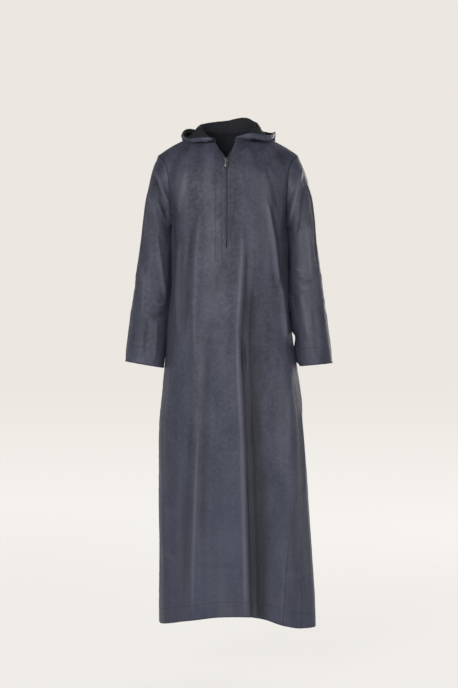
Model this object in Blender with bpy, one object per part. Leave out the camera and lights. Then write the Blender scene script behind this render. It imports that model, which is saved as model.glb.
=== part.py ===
"""Hooded thobe robe: a long robe with side gores, set-in sleeves, a half zip and a hood worn down.

Metres, +Z up, front towards -Y. Left is -X and right is +X. The origin is between the
shoulders at the base of the neck, where the robe is carried.
"""

import math

import bpy
import bmesh
from mathutils import Vector

# Cloth and seams
WALL = 0.0015
HEM_WALL = 0.0027
SEAM = 0.0003

# Finishes: colour, roughness and metallic value
SLATE_CLOTH = ((0.090, 0.100, 0.125), 0.62, 0.0)
TAPE_CLOTH = ((0.025, 0.027, 0.032), 0.80, 0.0)
NICKEL = ((0.300, 0.300, 0.310), 0.28, 1.0)

# Lengths
UNDERARM = -0.210
CUFF_HEM = 0.044
CUFF_RING = 0.1
CENTRE = -0.003
NECK_AXIS = 0.005
NECK_SHARE = 0.4
SHOULDER_ANGLE = 88.0
V_ANGLE = {-1: 24.0, 1: 13.0}

# Divisions of the cloth: across half a panel, across a gore, and up the side
SHARES = (0.0, 0.1, 0.2, 0.3, 0.4, 0.52, 0.64, 0.76, 0.88, 1.0)
GORE_SHARES = (0.0, 1 / 3, 2 / 3, 1.0)
HEM_SHARE = 0.039
SLIT_END = 0.921
SKIRT_RISES = [0.0, HEM_SHARE, HEM_SHARE + 0.003]
SKIRT_RISES += [0.092 + step * (SLIT_END - 0.092) / 17 for step in range(18)]
SLIT_ROW = len(SKIRT_RISES) - 1
SKIRT_RISES += [0.96, 1.0]
CHEST_RISES = [1.5, 2.0, 2.5, 2.75, 3.0, 3.5, 4.0, 4.5, 5.0]
RISES = SKIRT_RISES + CHEST_RISES

# Half outline of the closed body below the underarms, from hem to underarm
BODY = (
    ("height", "left", "right", "front", "back", "square"),
    (
        (-1.220, -0.170, 0.2170, -0.142, 0.156, 2.3),
        (-1.160, -0.171, 0.2155, -0.142, 0.155, 2.3),
        (-1.030, -0.170, 0.2090, -0.140, 0.152, 2.3),
        (-0.880, -0.172, 0.1990, -0.137, 0.148, 2.3),
        (-0.710, -0.172, 0.1875, -0.132, 0.143, 2.4),
        (-0.570, -0.1545, 0.1700, -0.128, 0.137, 2.4),
        (-0.460, -0.1490, 0.1540, -0.126, 0.131, 2.4),
        (-0.380, -0.1400, 0.1490, -0.125, 0.128, 2.4),
        (-0.300, -0.1350, 0.1475, -0.123, 0.127, 2.4),
        (-0.210, -0.1400, 0.1465, -0.120, 0.126, 2.4),
    ),
)

# Turning angle of each seam about the body, in degrees from the front
SEAMS = (
    (
        "height", "rear_left", "back_left", "side_left", "front_left", "middle",
        "front_right", "side_right", "back_right", "rear_right",
    ),
    (
        (-1.220, -188, -126, -95, -64, -12, 31, 56, 94, 172),
        (-1.030, -187, -120, -93, -66, -10, 38, 60, 96, 173),
        (-0.900, -186, -115, -91, -69, -8, 50, 66, 98, 174),
        (-0.780, -184, -110, -90, -72, -6, 63, 76, 100, 176),
        (-0.520, -182, -104, -90, -76, -3.4, 66, 86, 103, 178),
        (-0.300, -180, -102, -90, -78, -2.4, 76, 90, 102, 180),
        (-0.210, -180, -102, -90, -78, -1.4, 78, 90, 102, 180),
    ),
)

# Height of the hem round the body, by angle from the front
HEM = (
    ("angle", "height"),
    (
        (-190, -1.208), (-130, -1.204), (-90, -1.198), (-60, -1.188), (-30, -1.172),
        (4, -1.159), (14, -1.166), (31, -1.186), (57, -1.200), (90, -1.204), (180, -1.208),
    ),
)

# Long drape folds of the body: place at the upper and lower end, and how far they stand out
FOLDS = (
    ("top", "foot", "top_angle", "foot_angle", "top_lift", "foot_lift", "reach"),
    (
        (-0.120, -1.300, 10, 5, 0.004, 0.020, 20),
        (-0.300, -1.300, 34, 21, 0.000, -0.012, 15),
        (-0.080, -0.560, 46, 63, 0.003, 0.005, 9),
        (-0.540, -0.900, 56, 50, 0.005, 0.009, 13),
        (-0.800, -1.300, 62, 56, 0.000, -0.013, 14),
        (-0.700, -1.300, 80, 78, 0.000, 0.007, 15),
        (-0.560, -1.300, -20, -33, 0.002, 0.009, 11),
        (-0.450, -1.300, -46, -50, 0.000, -0.009, 14),
        (-0.500, -1.300, -100, -104, 0.000, 0.010, 15),
        (-0.200, -1.300, 128, 122, 0.002, 0.014, 18),
        (-0.150, -1.300, 152, 148, -0.002, -0.012, 14),
        (-0.120, -1.300, 176, 172, 0.003, 0.016, 18),
        (-0.200, -1.300, 200, 198, -0.002, -0.012, 14),
        (-0.160, -1.300, 226, 224, 0.003, 0.015, 18),
    ),
)

# Chest rows above the underarm, from the middle of the panel to its armhole edge
FRONT_ROWS = (
    (
        "step", "middle_height", "middle_depth", "edge_height", "edge_depth",
        "edge_left", "edge_right",
    ),
    (
        (2, -0.135, -0.114, -0.150, -0.052, 0.143, 0.1455),
        (3, -0.068, -0.100, -0.084, -0.054, 0.148, 0.1490),
    ),
)
BACK_ROWS = (
    FRONT_ROWS[0],
    (
        (2, -0.140, 0.124, -0.150, 0.062, 0.147, 0.1490),
        (3, -0.065, 0.110, -0.086, 0.060, 0.153, 0.1540),
    ),
)

# Row just below the neckline and the shoulder seam
FRONT_YOKE = (
    ("share", "left", "right", "depth", "height"),
    (
        (0.0, 0.0137, 0.0108, -0.085, -0.038),
        (0.2, 0.0520, 0.0480, -0.0740, -0.0290),
        (0.4, 0.0830, 0.0820, -0.0550, -0.017),
        (0.7, 0.1220, 0.1220, -0.043, -0.029),
        (1.0, 0.1590, 0.1590, -0.036, -0.052),
    ),
)
BACK_YOKE = (
    FRONT_YOKE[0],
    (
        (0.0, 0.0000, 0.0000, 0.090, 0.004),
        (0.2, 0.0440, 0.0440, 0.080, 0.001),
        (0.4, 0.0820, 0.0820, 0.056, -0.001),
        (0.7, 0.1220, 0.1220, 0.046, -0.020),
        (1.0, 0.1640, 0.1640, 0.036, -0.048),
    ),
)
SHOULDER_TIP = (0.1755, 0.0, -0.0360)

# Neckline about the neck's axis
NECKLINE = (
    ("angle", "out", "height"),
    (
        (0, 0.0790, -0.010),
        (24, 0.0790, -0.009),
        (45, 0.0730, -0.001),
        (66, 0.0670, 0.011),
        (88, 0.0640, 0.022),
        (120, 0.0650, 0.029),
        (150, 0.0680, 0.032),
        (180, 0.0700, 0.033),
    ),
)

# Half width of the slit in the front, from its end up to the slider
SLIT = (
    ("height", "half"),
    (
        (-0.290, 0.0), (-0.280, 0.0), (-0.245, 0.0013), (-0.180, 0.0015), (-0.110, 0.0011),
        (-0.087, 0.0015), (-0.068, 0.0063), (-0.053, 0.0020), (-0.038, 0.0),
    ),
)

# Sleeve rings from below the armhole to the cuff: outermost and innermost points, then the
# middle and half width from front to back
SLEEVE_COLUMNS = (
    "ring", "outer_reach", "outer_height", "inner_reach", "inner_height", "depth", "half_depth",
)
SLEEVE = {
    1: (
        SLEEVE_COLUMNS,
        (
            (1, 0.2080, -0.140, 0.1515, -0.236, 0.000, 0.066),
            (2, 0.2205, -0.245, 0.1525, -0.295, -0.002, 0.055),
            (3, 0.2345, -0.345, 0.1555, -0.372, -0.007, 0.049),
            (4, 0.2465, -0.455, 0.1660, -0.470, -0.015, 0.045),
            (5, 0.2595, -0.5518, 0.1775, -0.560, -0.022, 0.042),
        ),
    ),
    -1: (
        SLEEVE_COLUMNS,
        (
            (1, 0.2035, -0.140, 0.1455, -0.236, 0.000, 0.066),
            (2, 0.2170, -0.245, 0.1425, -0.300, -0.002, 0.055),
            (3, 0.2310, -0.345, 0.1475, -0.378, -0.007, 0.049),
            (4, 0.2435, -0.455, 0.1550, -0.474, -0.015, 0.045),
            (5, 0.2550, -0.5475, 0.1590, -0.564, -0.022, 0.042),
        ),
    ),
}
ARM_STEPS = (4, 3, 3, 3, 3)

# Folds of the sleeves: angle 0 faces out, 90 the front and 180 the body
SLEEVE_FOLDS = (
    ("hand", "angle", "height", "reach", "half_height", "slope", "lift"),
    (
        (1, 70, -0.130, 60, 0.030, -0.0012, 0.005),
        (-1, 70, -0.130, 60, 0.030, -0.0012, 0.005),
        (1, 95, -0.325, 75, 0.014, 0.0002, -0.004),
        (1, 110, -0.362, 70, 0.015, -0.0003, 0.004),
        (1, 120, -0.415, 70, 0.018, 0.0005, -0.004),
        (-1, 115, -0.420, 70, 0.016, -0.0004, -0.005),
        (-1, 110, -0.385, 70, 0.014, -0.0002, 0.003),
        (-1, 105, -0.335, 60, 0.016, 0.0003, -0.003),
        (1, 265, -0.340, 80, 0.016, 0.0003, -0.004),
        (-1, 265, -0.350, 80, 0.016, -0.0003, -0.004),
        (1, 250, -0.390, 70, 0.015, -0.0003, 0.004),
        (-1, 250, -0.400, 70, 0.015, 0.0003, 0.004),
    ),
)

# Hood worn down. Each row is one section round the neck: it rises from the neckline to a
# crest, falls along the back, turns at the base and comes up outside to the open rim
HOOD_COLUMNS = (
    "angle", "crest_out", "crest_up", "fall_out", "fall_up", "base_out", "base_up",
    "outer_out", "outer_up", "rim_out", "rim_up",
)
HOOD = {
    1: (
        HOOD_COLUMNS,
        (
            (13, 0.0808, -0.0040, 0.0840, -0.0035, 0.0880, -0.0050, 0.0920, -0.0035, 0.0940, 0.0010),
            (35, 0.0795, 0.0070, 0.0850, 0.0035, 0.0935, -0.0025, 0.0985, 0.0010, 0.0995, 0.0110),
            (60, 0.0730, 0.0220, 0.0830, 0.0110, 0.1000, -0.0050, 0.1095, -0.0040, 0.1115, 0.0090),
            (75, 0.0720, 0.0320, 0.0840, 0.0190, 0.1030, 0.0030, 0.1140, 0.0020, 0.1175, 0.0150),
            (90, 0.0720, 0.0430, 0.0850, 0.0270, 0.1030, 0.0125, 0.1150, 0.0120, 0.1190, 0.0250),
            (120, 0.0750, 0.0530, 0.0940, 0.0270, 0.1150, -0.0020, 0.1320, 0.0030, 0.1280, 0.0300),
            (150, 0.0810, 0.0690, 0.1060, 0.0100, 0.1340, -0.0900, 0.1540, -0.0600, 0.1450, 0.0430),
            (180, 0.0830, 0.0620, 0.1110, -0.0200, 0.1330, -0.1500, 0.1600, -0.1100, 0.1470, 0.0400),
        ),
    ),
    -1: (
        HOOD_COLUMNS,
        (
            (24, 0.0812, -0.0045, 0.0845, -0.0050, 0.0885, -0.0070, 0.0925, -0.0055, 0.0945, -0.0015),
            (40, 0.0790, 0.0060, 0.0850, 0.0010, 0.0935, -0.0090, 0.0990, -0.0075, 0.1005, 0.0010),
            (60, 0.0730, 0.0200, 0.0830, 0.0080, 0.1000, -0.0090, 0.1090, -0.0085, 0.1110, 0.0000),
            (75, 0.0720, 0.0300, 0.0840, 0.0180, 0.1010, 0.0030, 0.1120, 0.0020, 0.1150, 0.0090),
            (90, 0.0720, 0.0360, 0.0850, 0.0240, 0.1015, 0.0125, 0.1135, 0.0110, 0.1165, 0.0180),
            (120, 0.0750, 0.0460, 0.0940, 0.0260, 0.1140, -0.0020, 0.1260, 0.0060, 0.1160, 0.0410),
            (150, 0.0800, 0.0560, 0.1060, 0.0080, 0.1340, -0.0900, 0.1520, -0.0600, 0.1400, 0.0440),
            (180, 0.0830, 0.0620, 0.1110, -0.0200, 0.1330, -0.1500, 0.1600, -0.1100, 0.1470, 0.0400),
        ),
    ),
}
HOOD_STEPS = (2, 3, 4, 4, 4)
HOOD_BETWEEN = 2

# Zip tapes behind the slit, each with half the chain along its middle edge
TAPE_WIDTH = 0.013
TAPE_THICK = 0.0009
CHAIN_WIDTH = 0.0022
CHAIN_THICK = 0.0022
ZIP_BEND = 0.0030
TAPE_CLEAR = 0.0014
ZIP_TOP = len(RISES) - 1.5
SLIDER_ROW = RISES.index(3.0)
SLIDER_STEPS = (0.25, 0.5, 0.78)
CHAIN_EDGE = (
    ("height", "away"),
    (
        (-0.3000, 0.00015), (-0.0595, 0.00015), (-0.0545, 0.00110), (-0.0505, 0.00220),
        (-0.0380, 0.00880), (-0.0235, 0.01870), (-0.0090, 0.02560),
    ),
)

# Slider: height of its middle, then outlines with X to the side and Z up the chain
SLIDER_HEIGHT = -0.057
PLATE_OUTLINE = (
    (-0.0030, -0.0065), (0.0030, -0.0065), (0.0042, -0.0053), (0.0057, 0.0050),
    (0.0046, 0.0065), (-0.0046, 0.0065), (-0.0057, 0.0050), (-0.0042, -0.0053),
)
POST_OUTLINE = ((-0.0005, 0.0032), (0.0005, 0.0032), (0.0011, 0.0063), (-0.0011, 0.0063))
FLANGE_OUTLINE = ((0.0031, -0.0056), (0.0040, -0.0052), (0.0055, 0.0048), (0.0049, 0.0056))
FRONT_PLATE = (-0.0013, -0.0001)
BACK_PLATE = (0.0029, 0.0040)
FLANGE_RISE = 0.0018

# Bridge over the front plate, with Z up the chain and Y out of the plate
BRIDGE_HALF = 0.0010
BRIDGE_OUTLINE = (
    (0.0050, -0.0006), (0.0050, -0.0022), (0.0036, -0.0042), (-0.0026, -0.0042),
    (-0.0044, -0.0022), (-0.0044, -0.0006), (-0.0034, -0.0006), (-0.0034, -0.0020),
    (-0.0022, -0.0034), (0.0030, -0.0034), (0.0041, -0.0020), (0.0041, -0.0006),
)

# Pull tab, which hangs from a bar under the bridge
PIVOT_UP = 0.0003
PIVOT_OUT = 0.0024
TAB_TILT = -20.5
TAB_HALF_THICK = 0.00055
TAB_BAR = 0.0006
TAB_BAR_HALF = 0.0026
TAB_ARM = (0.0015, 0.0028)
TAB_ARM_END = -0.0068
TAB_OUTLINE = (
    (-0.0022, -0.0205), (0.0022, -0.0205), (0.0035, -0.0180), (0.0035, -0.0080),
    (0.0028, -0.0064), (-0.0028, -0.0064), (-0.0035, -0.0080), (-0.0035, -0.0180),
)


def clamp(value, low, high):
    return max(low, min(high, value))


def mix(first, second, share):
    return first + (second - first) * share


def reading(table, column, key):
    """Smooth value of a named column at a key, which is the table's first column."""
    names, rows = table
    index = names.index(column)
    keys = [row[0] for row in rows]
    values = [row[index] for row in rows]
    if key <= keys[0]:
        return values[0]
    if key >= keys[-1]:
        return values[-1]
    spans = [b - a for a, b in zip(keys, keys[1:])]
    slopes = [(b - a) / span for a, b, span in zip(values, values[1:], spans)]
    tangents = [slopes[0]]
    for before, after in zip(slopes, slopes[1:]):
        steady = before * after > 0
        tangents.append(2 * before * after / (before + after) if steady else 0.0)
    tangents.append(slopes[-1])
    place = max(i for i in range(len(spans)) if keys[i] <= key)
    share = (key - keys[place]) / spans[place]
    rise = values[place + 1] - values[place]
    start = tangents[place] * spans[place]
    end = tangents[place + 1] * spans[place]
    square = share * share
    cube = square * share
    blend = 3 * square - 2 * cube
    return values[place] + rise * blend + start * (cube - 2 * square + share) + end * (cube - square)


def through(points, place):
    """Point on the smooth curve that runs through a list of points."""
    index = int(clamp(math.floor(place), 1, len(points) - 3))
    share = place - index
    before, start, end, after = points[index - 1:index + 3]
    leave = (end - before) / 2
    arrive = (after - start) / 2
    square = share * share
    cube = square * share
    return (
        start * (2 * cube - 3 * square + 1) + leave * (cube - 2 * square + share)
        + end * (3 * square - 2 * cube) + arrive * (cube - square)
    )


def bump(distance):
    """Soft ridge, 1 in the middle and 0 from a distance of 1."""
    if abs(distance) >= 1:
        return 0.0
    return math.cos(distance * math.pi / 2) ** 2


def fold_lift(angle, height):
    """How far the drape folds push the body's cloth out at one place."""
    names, rows = FOLDS
    total = 0.0
    for row in rows:
        fold = dict(zip(names, row))
        share = (fold["top"] - height) / (fold["top"] - fold["foot"])
        if 0 < share < 1:
            middle = mix(fold["top_angle"], fold["foot_angle"], share)
            away = (angle - middle + 180) % 360 - 180
            lift = mix(fold["top_lift"], fold["foot_lift"], share)
            ends = min(1.0, share / 0.12, (1 - share) / 0.12)
            ends = ends * ends * (3 - 2 * ends)
            total += lift * ends * bump(away / fold["reach"])
    return total


def ring_base(angle, height):
    """Outer face of the body at one angle and height below the underarms, with no folds."""
    left = reading(BODY, "left", height)
    right = reading(BODY, "right", height)
    square = reading(BODY, "square", height)
    turn = math.radians(angle)
    side = math.copysign(abs(math.sin(turn)) ** (2 / square), math.sin(turn))
    along = math.copysign(abs(math.cos(turn)) ** (2 / square), math.cos(turn))
    depth = reading(BODY, "front", height) if along > 0 else -reading(BODY, "back", height)
    return Vector(((left + right) / 2 + (right - left) / 2 * side, depth * along, height))


def outward(angle):
    turn = math.radians(angle)
    return Vector((math.sin(turn), -math.cos(turn), 0))


def skirt_place(first, second, share, rise):
    """Angle and height between two seams; rise is 0 at the hem and 1 at the underarm."""
    low = mix(reading(SEAMS, first, -1.2), reading(SEAMS, second, -1.2), share)
    height = mix(reading(HEM, "height", low), UNDERARM, rise)
    angle = mix(reading(SEAMS, first, height), reading(SEAMS, second, height), share)
    return angle, height


def ring_point(angle, height):
    return ring_base(angle, height) + outward(angle) * fold_lift(angle, height)


def ring_normal(angle, height):
    around = ring_point(angle + 0.5, height) - ring_point(angle - 0.5, height)
    up = ring_point(angle, height + 0.002) - ring_point(angle, height - 0.002)
    return around.cross(up).normalized()


def skirt_point(first, second, share, rise):
    return ring_point(*skirt_place(first, second, share, rise))


def neck_point(hand, angle):
    """Point on the neckline seam, by its angle from the front."""
    turn = math.radians(angle)
    out = reading(NECKLINE, "out", angle)
    height = reading(NECKLINE, "height", angle)
    return Vector((hand * out * math.sin(turn), NECK_AXIS - out * math.cos(turn), height))


def side_name(hand):
    return "right" if hand > 0 else "left"


def chest_row(face, hand, step, share):
    """Key row of the chest or upper back, from the panel's middle to the armhole."""
    rows = FRONT_ROWS if face < 0 else BACK_ROWS
    names, values = rows
    row = dict(zip(names, values[step - 2]))
    side = side_name(hand)
    middle = CENTRE if face < 0 else 0.0
    flat = (1 - share ** 2.2) ** (1 / 2.2)
    depth = mix(row["edge_depth"], row["middle_depth"], flat)
    height = mix(row["middle_height"], row["edge_height"], share ** 1.5)
    return Vector((mix(middle, hand * row["edge_" + side], share), depth, height))


def yoke_row(face, hand, share):
    yoke = FRONT_YOKE if face < 0 else BACK_YOKE
    middle = CENTRE * (1 - share) if face < 0 else 0.0
    x = middle + hand * reading(yoke, side_name(hand), share)
    return Vector((x, reading(yoke, "depth", share), reading(yoke, "height", share)))


def top_row(face, hand, share):
    """Neckline from the panel's middle, then the shoulder seam out to the tip."""
    if share <= NECK_SHARE:
        start = V_ANGLE[hand] if face < 0 else 180.0
        return neck_point(hand, mix(start, SHOULDER_ANGLE, share / NECK_SHARE))
    along = (share - NECK_SHARE) / (1 - NECK_SHARE)
    neck = neck_point(hand, SHOULDER_ANGLE)
    tip = Vector((hand * SHOULDER_TIP[0], SHOULDER_TIP[1], SHOULDER_TIP[2]))
    point = neck.lerp(tip, along)
    point.z += 0.006 * math.sin(math.pi * along)
    return point


def panel_seams(face, hand):
    """Names of the lines that one half of a panel runs between."""
    if face < 0:
        return "middle", "front_" + side_name(hand)
    return "rear_" + side_name(hand), "back_" + side_name(hand)


def panel_point(face, hand, share, rise):
    """Outer face of the front (-1) or back (+1): rise 0 hem, 1 underarm, 5 shoulder."""
    first, second = panel_seams(face, hand)
    slit = Vector((hand * (1 - share) ** 3, 0, 0)) if face < 0 else Vector()
    if rise <= 1:
        point = skirt_point(first, second, share, rise)
        return point + slit * reading(SLIT, "half", point.z)
    angle, height = skirt_place(first, second, share, 1.0)
    below = ring_base(*skirt_place(first, second, share, 0.92))
    start = ring_base(angle, height)
    yoke = yoke_row(face, hand, share)
    top = top_row(face, hand, share)
    onward = clamp(share / NECK_SHARE * 2 - 1, 0, 1)
    beyond = (top * 2 - yoke).lerp(yoke_row(-face, hand, share), onward)
    rows = [below, start, chest_row(face, hand, 2, share), chest_row(face, hand, 3, share)]
    point = through(rows + [yoke, top, beyond], rise)
    point += slit * reading(SLIT, "half", point.z)
    return point + outward(angle) * fold_lift(angle, point.z) * clamp(5 - rise, 0, 1)


def panel_normal(face, hand, share, rise):
    """Outward normal of the front or back panel."""
    if rise <= 1:
        first, second = panel_seams(face, hand)
        return ring_normal(*skirt_place(first, second, share, rise))
    step = 0.01
    right = panel_point(face, hand, min(share + step, 1.0), rise)
    left = panel_point(face, hand, max(share - step, 0.0), rise)
    above = panel_point(face, hand, share, min(rise + step, 5.0))
    below = panel_point(face, hand, share, rise - step)
    return (right - left).cross(above - below).normalized() * (-face * hand)


def wall_at(rise):
    """Thickness of the cloth, which is doubled over the turned hem."""
    return HEM_WALL if rise <= HEM_SHARE else WALL


def make_material(name, finish):
    color, roughness, metallic = finish
    material = bpy.data.materials.new(name)
    material.use_nodes = True
    shader = material.node_tree.nodes["Principled BSDF"]
    shader.inputs["Base Color"].default_value = color + (1.0,)
    shader.inputs["Roughness"].default_value = roughness
    shader.inputs["Metallic"].default_value = metallic
    return material


def make_object(name, points, faces, finish, rounded=True):
    mesh = bpy.data.meshes.new(name)
    mesh.from_pydata([tuple(point) for point in points], [], faces)
    mesh.validate()
    shape = bmesh.new()
    shape.from_mesh(mesh)
    bmesh.ops.remove_doubles(shape, verts=shape.verts, dist=1e-7)
    bmesh.ops.recalc_face_normals(shape, faces=shape.faces)
    shape.to_mesh(mesh)
    shape.free()
    mesh.materials.append(make_material(name, finish))
    if rounded:
        mesh.shade_smooth()
        mesh.set_sharp_from_angle(angle=math.radians(40))
    thing = bpy.data.objects.new(name, mesh)
    bpy.context.scene.collection.objects.link(thing)
    return thing


def make_wall(name, outer, inner, faces):
    """Closed cloth wall: two skins on the same faces, joined round every free edge.

    Each edge is split from its lower outer corner, so that both sides of a seam match.
    """
    count = len(outer)
    edges = {(a, b) for face in faces for a, b in zip(face, face[1:] + face[:1])}
    rims = []
    for a, b in sorted(edges):
        if (b, a) in edges:
            continue
        if outer[a].z < outer[b].z:
            rims += [(b, a, b + count), (a, a + count, b + count)]
        else:
            rims += [(b, a, a + count), (b, a + count, b + count)]
    backs = [tuple(index + count for index in reversed(face)) for face in faces]
    return make_object(name, outer + inner, list(faces) + backs + rims, SLATE_CLOTH)


def grid_faces(rows, columns, flip=False):
    faces = []
    for row in range(rows - 1):
        for column in range(columns - 1):
            corner = row * columns + column
            face = (corner, corner + 1, corner + columns + 1, corner + columns)
            faces.append(tuple(reversed(face)) if flip else face)
    return faces


def draw_back(grid, row_step, column_step):
    """Move the edge points of a grid half a seam gap into the panel."""
    rows = len(grid)
    columns = len(grid[0])
    half = SEAM / 2
    moved = [list(row) for row in grid]
    for r in range(rows):
        for c in range(columns):
            shift = Vector()
            if c == 0 and column_step[0]:
                shift += (grid[r][1] - grid[r][0]).normalized() * half
            if c == columns - 1 and column_step[1]:
                shift += (grid[r][-2] - grid[r][-1]).normalized() * half
            if r == rows - 1 and row_step:
                shift += (grid[-2][c] - grid[-1][c]).normalized() * half
            moved[r][c] = grid[r][c] + shift
    return moved


def two_skins(place, facing, shares, rises):
    """Outer and inner points of a panel, a row for each rise and a column for each share."""
    outer = [[place(share, rise) for share in shares] for rise in rises]
    inner = [
        [point - facing(share, rise) * wall_at(rise) for point, share in zip(row, shares)]
        for row, rise in zip(outer, rises)
    ]
    return outer, inner


def flat_list(grid):
    return [point for row in grid for point in row]


def half_panel(face, hand):
    """Outer and inner points of one half of the front or back panel."""
    def place(share, rise):
        return panel_point(face, hand, share, rise)

    def facing(share, rise):
        return panel_normal(face, hand, share, rise)

    outer, inner = two_skins(place, facing, SHARES, RISES)
    outer = draw_back(outer, True, (False, True))
    inner = draw_back(inner, True, (False, True))
    return outer, inner


def make_panel(name, face, joined_row):
    """Front or back panel in one piece; above its last joined row it is slit down the middle."""
    right_outer, right_inner = half_panel(face, 1)
    left_outer, left_inner = half_panel(face, -1)
    columns = len(SHARES)
    outer = flat_list(right_outer) + flat_list(left_outer)
    inner = flat_list(right_inner) + flat_list(left_inner)
    offset = len(RISES) * columns
    for row in range(joined_row + 1):
        for points in (outer, inner):
            points[row * columns] = (points[row * columns] + points[offset + row * columns]) / 2
    right = grid_faces(len(RISES), columns, face > 0)
    left = []
    for corners in grid_faces(len(RISES), columns, face < 0):
        joined = [corner % columns == 0 and corner // columns <= joined_row for corner in corners]
        left.append(tuple(c if shared else c + offset for c, shared in zip(corners, joined)))
    return make_wall(name, outer, inner, right + left)


def make_gore(name, hand, first, second):
    side = side_name(hand)

    def place(share, rise):
        return skirt_point(first + side, second + side, share, rise)

    def facing(share, rise):
        return ring_normal(*skirt_place(first + side, second + side, share, rise))

    outer, inner = two_skins(place, facing, GORE_SHARES, SKIRT_RISES)
    outer = draw_back(outer, True, (True, True))
    inner = draw_back(inner, True, (True, True))
    faces = grid_faces(len(SKIRT_RISES), len(GORE_SHARES), hand < 0)
    return make_wall(name, flat_list(outer), flat_list(inner), faces)


def armhole(hand):
    """Points round the armhole from the top, each with the direction into the body's cloth."""
    front = half_panel(-1, hand)[0][len(SKIRT_RISES) - 1:]
    back = half_panel(1, hand)[0][len(SKIRT_RISES) - 1:]
    side = side_name(hand)
    edge = [(row[-1], row[-2] - row[-1]) for row in reversed(front)]
    for low, high in (("front_", "side_"), ("side_", "back_")):
        for share in GORE_SHARES[1:]:
            edge.append((skirt_point(low + side, high + side, share, 1.0), Vector((0, 0, -1))))
    edge.pop()
    edge += [(row[-1], row[-2] - row[-1]) for row in back[:-1]]
    return [(point, into.normalized()) for point, into in edge]


def sleeve_ring_point(hand, ring, turn):
    table = SLEEVE[hand]
    outer = Vector((
        hand * reading(table, "outer_reach", ring), 0, reading(table, "outer_height", ring),
    ))
    inner = Vector((
        hand * reading(table, "inner_reach", ring), 0, reading(table, "inner_height", ring),
    ))
    point = (outer + inner) / 2 + (outer - inner) / 2 * math.cos(turn)
    half = reading(table, "half_depth", ring)
    point.y = reading(table, "depth", ring) - half * math.sin(turn)
    return point


def sleeve_fold(hand, angle, height):
    names, rows = SLEEVE_FOLDS
    total = 0.0
    for row in rows:
        fold = dict(zip(names, row))
        if fold["hand"] == hand:
            away = (angle - fold["angle"] + 180) % 360 - 180
            middle = fold["height"] + fold["slope"] * away
            side = bump(away / fold["reach"])
            total += fold["lift"] * side * bump((height - middle) / fold["half_height"])
    return total


def sleeve_rows(hand, start):
    """Rings of points down the sleeve, from the armhole to the cuff."""
    count = len(start)
    turns = [2 * math.pi * index / count for index in range(count)]
    rings = []
    for segment, steps in enumerate(ARM_STEPS):
        for step in range(steps):
            rings.append(segment + step / steps)
    hem = len(ARM_STEPS) - CUFF_HEM / CUFF_RING
    rings[-2:] = [hem - 0.03, hem, len(ARM_STEPS)]
    rows = []
    for ring in rings:
        row = []
        for index, turn in enumerate(turns):
            if ring >= 1:
                point = sleeve_ring_point(hand, ring, turn)
            else:
                end = sleeve_ring_point(hand, 1, turn)
                after = sleeve_ring_point(hand, 2, turn)
                puff = max(0.0, math.cos(turn)) ** 1.5
                before = start[index] * 2 - end
                before -= Vector((hand * 0.050, 0, 0.030)) * puff
                point = through([before, start[index], end, after], 1 + ring)
            row.append(point)
        rows.append(row)
    return rings, rows


def grid_normals(rows, closed):
    """Normals of a grid of points, along the cross product of its columns and rows."""
    normals = []
    for r, row in enumerate(rows):
        line = []
        for c in range(len(row)):
            before = c - 1 if closed or c else c
            after = (c + 1) % len(row) if closed else min(c + 1, len(row) - 1)
            along = row[after] - row[before]
            up = rows[min(r + 1, len(rows) - 1)][c] - rows[max(r - 1, 0)][c]
            line.append(along.cross(up).normalized())
        normals.append(line)
    return normals


def make_sleeve(name, hand):
    edge = armhole(hand)
    away = Vector((hand * SEAM, 0, 0))
    rings, rows = sleeve_rows(hand, [point + away - into * (SEAM / 2) for point, into in edge])
    normals = grid_normals(rows, True)
    count = len(edge)
    for r in range(1, len(rows)):
        for c, point in enumerate(rows[r]):
            lift = sleeve_fold(hand, 360 * c / count, point.z)
            rows[r][c] = point + normals[r][c] * lift * hand
    normals = grid_normals(rows, True)
    for c, (point, into) in enumerate(edge):
        normals[0][c] -= into * min(0.0, normals[0][c].dot(into) * hand) * hand
        normals[0][c].normalize()
    inner = []
    for ring, row, line in zip(rings, rows, normals):
        thick = HEM_WALL if ring >= rings[-2] else WALL
        inner += [point - normal * hand * thick for point, normal in zip(row, line)]
    faces = []
    for r in range(len(rows) - 1):
        for c in range(count):
            after = (c + 1) % count
            face = (r * count + c, r * count + after, (r + 1) * count + after, (r + 1) * count + c)
            faces.append(face if hand < 0 else tuple(reversed(face)))
    return make_wall(name, flat_list(rows), inner, faces)


def hood_columns(hand):
    """Angle about the neck and point on the neckline for each section of the hood."""
    start = V_ANGLE[hand]
    side = [mix(start, SHOULDER_ANGLE, share / NECK_SHARE) for share in SHARES[:4]]
    back = [mix(SHOULDER_ANGLE, 180.0, share / NECK_SHARE) for share in SHARES[:5]]
    knots = side + back
    columns = []
    for low, high in zip(knots, knots[1:]):
        for step in range(HOOD_BETWEEN):
            share = step / HOOD_BETWEEN
            seam = neck_point(hand, low).lerp(neck_point(hand, high), share)
            columns.append((mix(low, high, share), seam))
    return columns + [(180.0, neck_point(hand, 180.0))]


def hood_section(hand, angle, neckline):
    """Points across the hood from the neckline to the rim, at one angle about the neck."""
    table = HOOD[hand]
    turn = math.radians(angle)
    direction = Vector((hand * math.sin(turn), -math.cos(turn), 0))
    axis = Vector((0, NECK_AXIS, 0))
    seam = neckline + Vector((0, 0, SEAM))
    keys = [seam]
    for name in ("crest", "fall", "base", "outer", "rim"):
        out = reading(table, name + "_out", angle)
        height = reading(table, name + "_up", angle)
        keys.append(axis + direction * out + Vector((0, 0, height)))
    before = seam - (keys[1] - seam) * 0.6 + Vector((0, 0, -0.004))
    beyond = keys[-1] * 2 - keys[-2]
    points = []
    for segment, steps in enumerate(HOOD_STEPS):
        for step in range(steps):
            place = 1 + segment + step / steps
            points.append(through([before] + keys + [beyond], place))
    points.append(keys[-1])
    return points


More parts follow.
